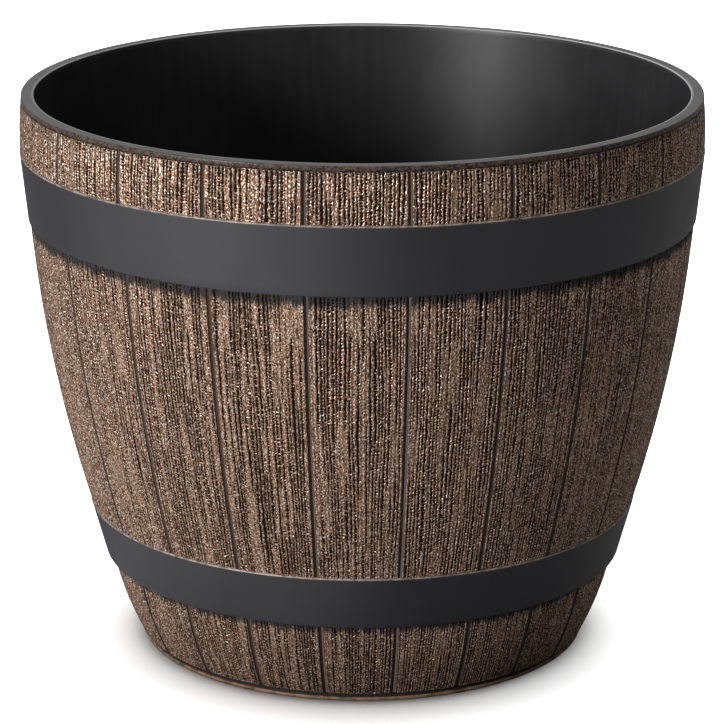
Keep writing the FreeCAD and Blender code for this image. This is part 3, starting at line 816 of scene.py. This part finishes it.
def towards(tree, place, azimuth):
    """How nearly a direction points to an azimuth, from -1 to 1."""
    inputs = {0: place, 1: direction(azimuth, 0.0)}
    return add_node(tree, "ShaderNodeVectorMath", inputs, operation="DOT_PRODUCT").outputs["Value"]


def seen_by(tree):
    """Whether the camera sees a place, and whether it shows in a mirror or through glass."""
    path = add_node(tree, "ShaderNodeLightPath", {}).outputs
    mirrored = calculate(tree, "MAXIMUM", path["Is Glossy Ray"], path["Is Transmission Ray"])
    return path["Is Camera Ray"], mirrored


def make_floor():
    """A plain floor: white to the eye, grey in mirrors with a paler side towards the key, a painted pool of
    the key's light. It throws little light back.
    """
    half = FLOOR_SIZE / 2
    mesh = bpy.data.meshes.new("floor_mesh")
    corners = [(-half, -half, 0), (half, -half, 0), (half, half, 0), (-half, half, 0)]
    mesh.from_pydata(corners, [], [(0, 1, 2, 3)])
    floor = bpy.data.objects.new("floor", mesh)
    bpy.context.scene.collection.objects.link(floor)
    material, tree, shader = new_material("floor_white", Roughness=1.0, Specular_IOR_Level=0.0)
    camera, mirrored = seen_by(tree)
    place = add_node(tree, "ShaderNodeTexCoord", {}).outputs["Object"]
    outward = add_node(tree, "ShaderNodeVectorMath", {0: place}, operation="NORMALIZE").outputs["Vector"]
    # Painted light: in mirrors the floor is paler towards the key, standing in for the key's light on it.
    glare = rescale(tree, towards(tree, outward, GLARE_AZIMUTH), *GLARE_RANGE)
    mirror_colour = mix_colour(tree, glare, FLOOR_FAR_SIDE, FLOOR_GLARE)
    colour = mix_colour(tree, mirrored, FLOOR_BOUNCE, mirror_colour)
    tree.links.new(mix_colour(tree, camera, colour, FLOOR_WHITE), shader.inputs["Base Color"])
    mesh.materials.append(material)
    return floor


def make_world():
    """Plain fill light. The eye and mirrors see walls, lighter by the key lamp, and a ceiling lit behind."""
    world = bpy.data.worlds.new("studio")
    world.use_nodes = True
    tree = world.node_tree
    background = tree.nodes["Background"]
    background.inputs["Color"].default_value = WORLD_WHITE
    place = add_node(tree, "ShaderNodeTexCoord", {}).outputs["Generated"]
    parts = add_node(tree, "ShaderNodeSeparateXYZ", {0: place}).outputs
    ceiling = rescale(tree, parts["Y"], *BACK_RANGE, CEILING, BACK_LIGHT)
    walls = rescale(tree, towards(tree, place, KEY_AZIMUTH), *WALL_RANGE, FAR_WALL, NEAR_WALL)
    studio = mix_value(tree, rescale(tree, parts["Z"], *CEILING_RANGE), walls, ceiling)
    seen = calculate(tree, "MAXIMUM", *seen_by(tree))
    tree.links.new(mix_value(tree, seen, WORLD_FILL, studio), background.inputs["Strength"])
    bpy.context.scene.world = world


def add_lamp(name, light, floor, on_floor):
    """Puts a lamp in the scene that lights the floor alone, or all but the floor."""
    lamp = bpy.data.objects.new(name, light)
    bpy.context.scene.collection.objects.link(lamp)
    lit = bpy.data.collections.new(f"{name}_lights")
    lit.objects.link(floor)
    lit.collection_objects[0].light_linking.link_state = "INCLUDE" if on_floor else "EXCLUDE"
    lamp.light_linking.receiver_collection = lit
    return lamp


def add_overhead(floor):
    """Soft light from above and a little behind that keeps the floor white up to the object's shadow."""
    light = bpy.data.lights.new("overhead", "SUN")
    light.energy = FLOOR_LIGHT
    light.angle = math.radians(FLOOR_LIGHT_SPREAD)
    lamp = add_lamp("overhead", light, floor, on_floor=True)
    lamp.rotation_euler = (-math.radians(FLOOR_LIGHT_TILT), 0.0, 0.0)


def aim_from(thing, azimuth, elevation, distance):
    """Puts a lamp or a camera at these angles and this distance, and turns it to the object."""
    away = direction(azimuth, elevation)
    thing.location = AIM + away * distance
    thing.rotation_mode = "QUATERNION"
    thing.rotation_quaternion = away.to_track_quat("Z", "Y")


def add_key(floor):
    """A round soft lamp on the left that faces the object."""
    light = bpy.data.lights.new("key", "AREA")
    light.shape = "DISK"
    light.size = KEY_SIZE
    light.energy = KEY_POWER
    lamp = add_lamp("key", light, floor, on_floor=False)
    aim_from(lamp, KEY_AZIMUTH, KEY_ELEVATION, KEY_DISTANCE)


def make_camera():
    """The photograph's view, from a little above."""
    lens = bpy.data.cameras.new("camera")
    lens.lens = CAMERA_LENS
    lens.sensor_width = CAMERA_SENSOR
    camera = bpy.data.objects.new("camera", lens)
    aim_from(camera, CAMERA_AZIMUTH, CAMERA_ELEVATION, CAMERA_DISTANCE)
    bpy.context.scene.collection.objects.link(camera)
    bpy.context.scene.camera = camera


wood = wood_material()
for stave_number in range(STAVE_COUNT):
    make_stave(stave_number, wood)
satin = hoop_material()
make_hoop("upper_hoop", UPPER_HOOP, satin)
make_hoop("lower_hoop", LOWER_HOOP, satin)
make_foot_ring(foot_material())
make_liner(liner_material())
rubber = rubber_material()
for plug_number in range(DRAIN_COUNT):
    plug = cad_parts[f"drain_plug_{plug_number + 1}"]
    plug.data.materials.clear()
    plug.data.materials.append(rubber)

ground = make_floor()
make_world()
add_overhead(ground)
add_key(ground)
make_camera()
bpy.context.scene.view_settings.view_transform = "Standard"
